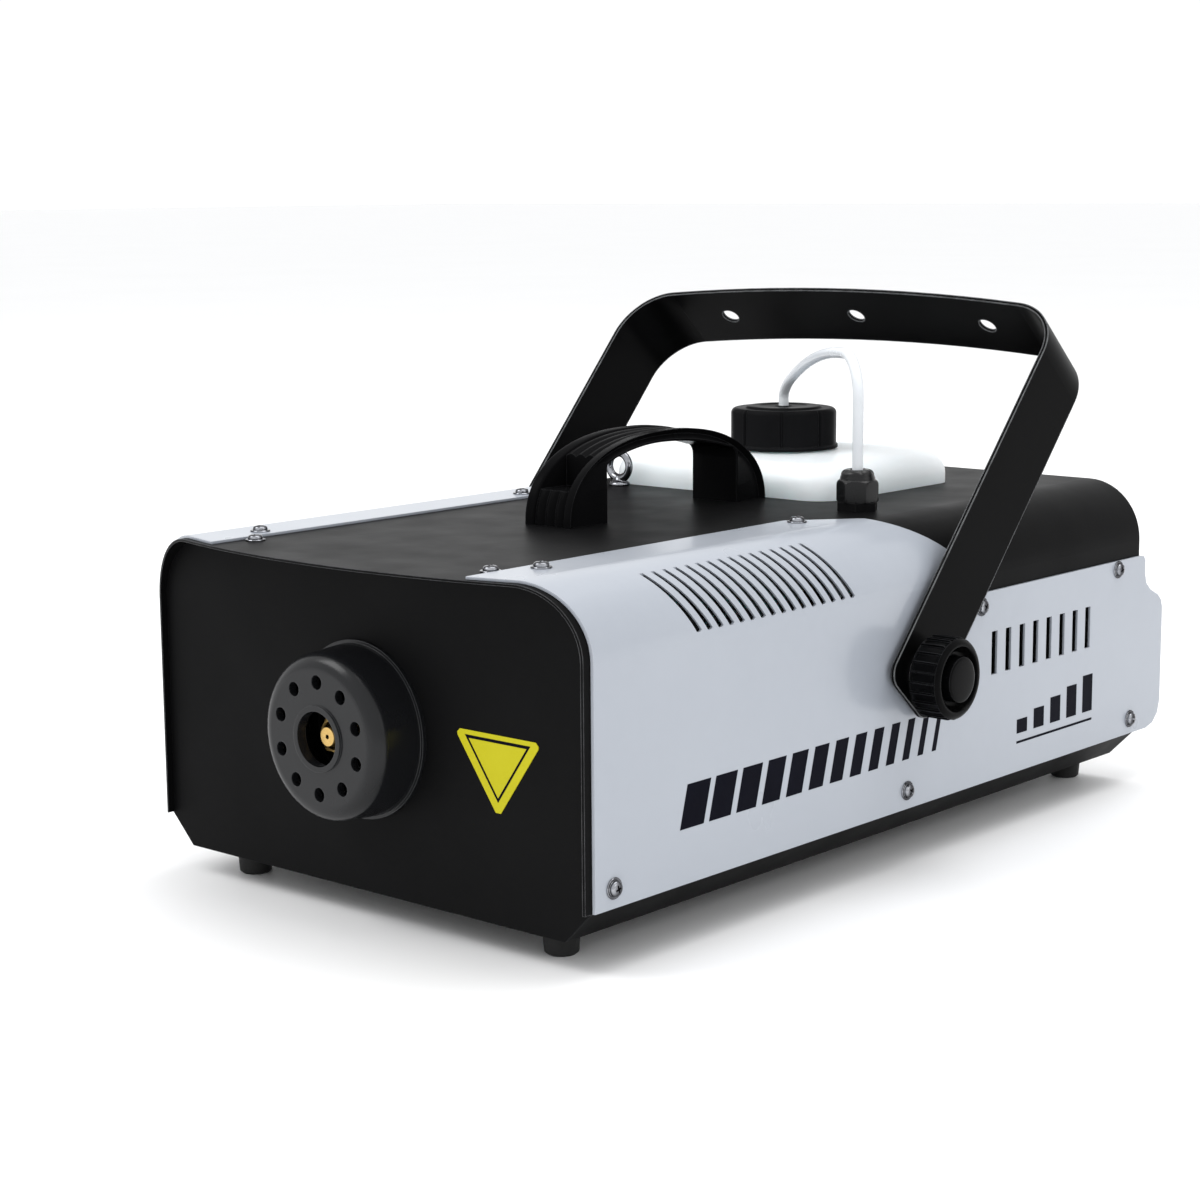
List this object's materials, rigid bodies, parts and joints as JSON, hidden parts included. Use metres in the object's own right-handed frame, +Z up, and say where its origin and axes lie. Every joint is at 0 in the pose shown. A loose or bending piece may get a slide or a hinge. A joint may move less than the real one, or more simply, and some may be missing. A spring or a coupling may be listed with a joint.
{
  "type": "fog machine",
  "caption": "Tabletop or truss-hung fog machine: boxy case with rounded shoulders, front nozzle, tilting yoke, carry handle, fluid tank.",
  "frame": {"origin": "centre of the footprint box, on the surface the feet stand on", "axes": "+Z up, nozzle faces -Y, yoke pivots along X"},
  "size_m": [0.3154, 0.4804, 0.2573],
  "materials": {
    "black_steel": "satin powder coat",
    "white_steel": "gloss paint",
    "zinc_steel": "zinc plated",
    "bright_steel": "polished",
    "alu": "machined",
    "brass": "plain",
    "black_plastic": "moulded",
    "gloss_black": "moulded, glossy",
    "red_plastic": "moulded",
    "hdpe": "translucent polyethylene",
    "tube": "milky translucent",
    "rubber": "matt",
    "blanket": "ceramic fibre",
    "pcb": "solder mask",
    "copper_coil": "taped winding",
    "yellow": "printed film",
    "cream_plastic": "moulded",
    "wire_red": "cable sheath"
  },
  "bodies": {
    "case": {"base_tray": "black_steel", "front_plate": "black_steel", "rear_plate": "black_steel", "top_cover": "black_steel", "panel_right": "white_steel", "panel_left": "white_steel", "feet": "rubber", "foot_screws": "zinc_steel", "case_screws": "bright_steel", "case_nuts": "zinc_steel", "nozzle_guard": "black_plastic", "guard_screws": "zinc_steel", "nozzle": "brass", "heater_block": "alu", "heating_elements": "zinc_steel", "heat_blanket": "blanket", "heater_brackets": "zinc_steel", "thermostats": "zinc_steel", "thermal_fuse": "cream_plastic", "pump_body": "zinc_steel", "pump_coil": "copper_coil", "pump_spring": "zinc_steel", "pump_bracket": "zinc_steel", "tube_fittings": "brass", "feed_tube": "tube", "pickup_tube": "tube", "tank_filter": "zinc_steel", "tank": "hdpe", "gland_body": "black_plastic", "gland_nut": "black_plastic", "gland_seal": "rubber", "gland_locknut": "black_plastic", "carry_handle": "gloss_black", "safety_eye": "bright_steel", "eye_nut": "zinc_steel", "arm_spacers": "black_plastic", "arm_washers": "zinc_steel", "pivot_nuts": "zinc_steel", "control_board": "pcb", "board_parts": "black_plastic", "board_posts": "brass", "receiver": "pcb", "terminal_block": "cream_plastic", "wiring": "wire_red", "power_inlet": "black_plastic", "inlet_pins": "brass", "switch_frame": "black_plastic", "fuse_holder": "black_plastic", "remote_socket": "black_plastic", "front_label": "yellow"},
    "yoke": {"yoke": "black_steel"},
    "knob_right": {"knob_right": "black_plastic", "stud_right": "zinc_steel"},
    "knob_left": {"knob_left": "black_plastic", "stud_left": "zinc_steel"},
    "liner": {"cap_liner": "rubber"},
    "cap": {"tank_cap": "black_plastic"},
    "rocker": {"switch_rocker": "red_plastic"},
    "fuse_cap": {"fuse_cap": "black_plastic"},
    "plunger": {"pump_plunger": "zinc_steel"}
  },
  "joints": [
    {"name": "yoke_tilt", "type": "hinge", "parent": "case", "child": "yoke", "pos_m": [0, 0.00715, 0.0905], "axis": [1, 0, 0], "range_deg": [-21, 105]},
    {"name": "knob_right_turn", "type": "hinge", "parent": "case", "child": "knob_right", "pos_m": [0.145, 0.00715, 0.0905], "axis": [1, 0, 0], "continuous": true},
    {"name": "knob_left_turn", "type": "hinge", "parent": "case", "child": "knob_left", "pos_m": [-0.145, 0.00715, 0.0905], "axis": [-1, 0, 0], "continuous": true},
    {"name": "cap_lift", "type": "slide", "parent": "case", "child": "liner", "axis": [0, 0, 1], "range_m": [0, 0.004]},
    {"name": "cap_turn", "type": "hinge", "parent": "liner", "child": "cap", "pos_m": [-0.02, 0.10815, 0.188], "axis": [0, 0, 1], "range_deg": [0, 360]},
    {"name": "rocker_tilt", "type": "hinge", "parent": "case", "child": "rocker", "pos_m": [-0.024, 0.21315, 0.058], "axis": [1, 0, 0], "range_deg": [0, 20]},
    {"name": "fuse_cap_turn", "type": "hinge", "parent": "case", "child": "fuse_cap", "pos_m": [0.014, 0.21615, 0.058], "axis": [0, 1, 0], "range_deg": [0, 90]},
    {"name": "plunger_stroke", "type": "slide", "parent": "case", "child": "plunger", "axis": [0, 0, 1], "range_m": [0, 0.004], "stiffness_N_per_m": 150, "springref_m": -0.004, "deforming": ["pump_spring"]}
  ],
  "couplings": [
    {"joint": "cap_turn", "follows": "cap_lift", "rad_per_m": 1570.8}
  ]
}
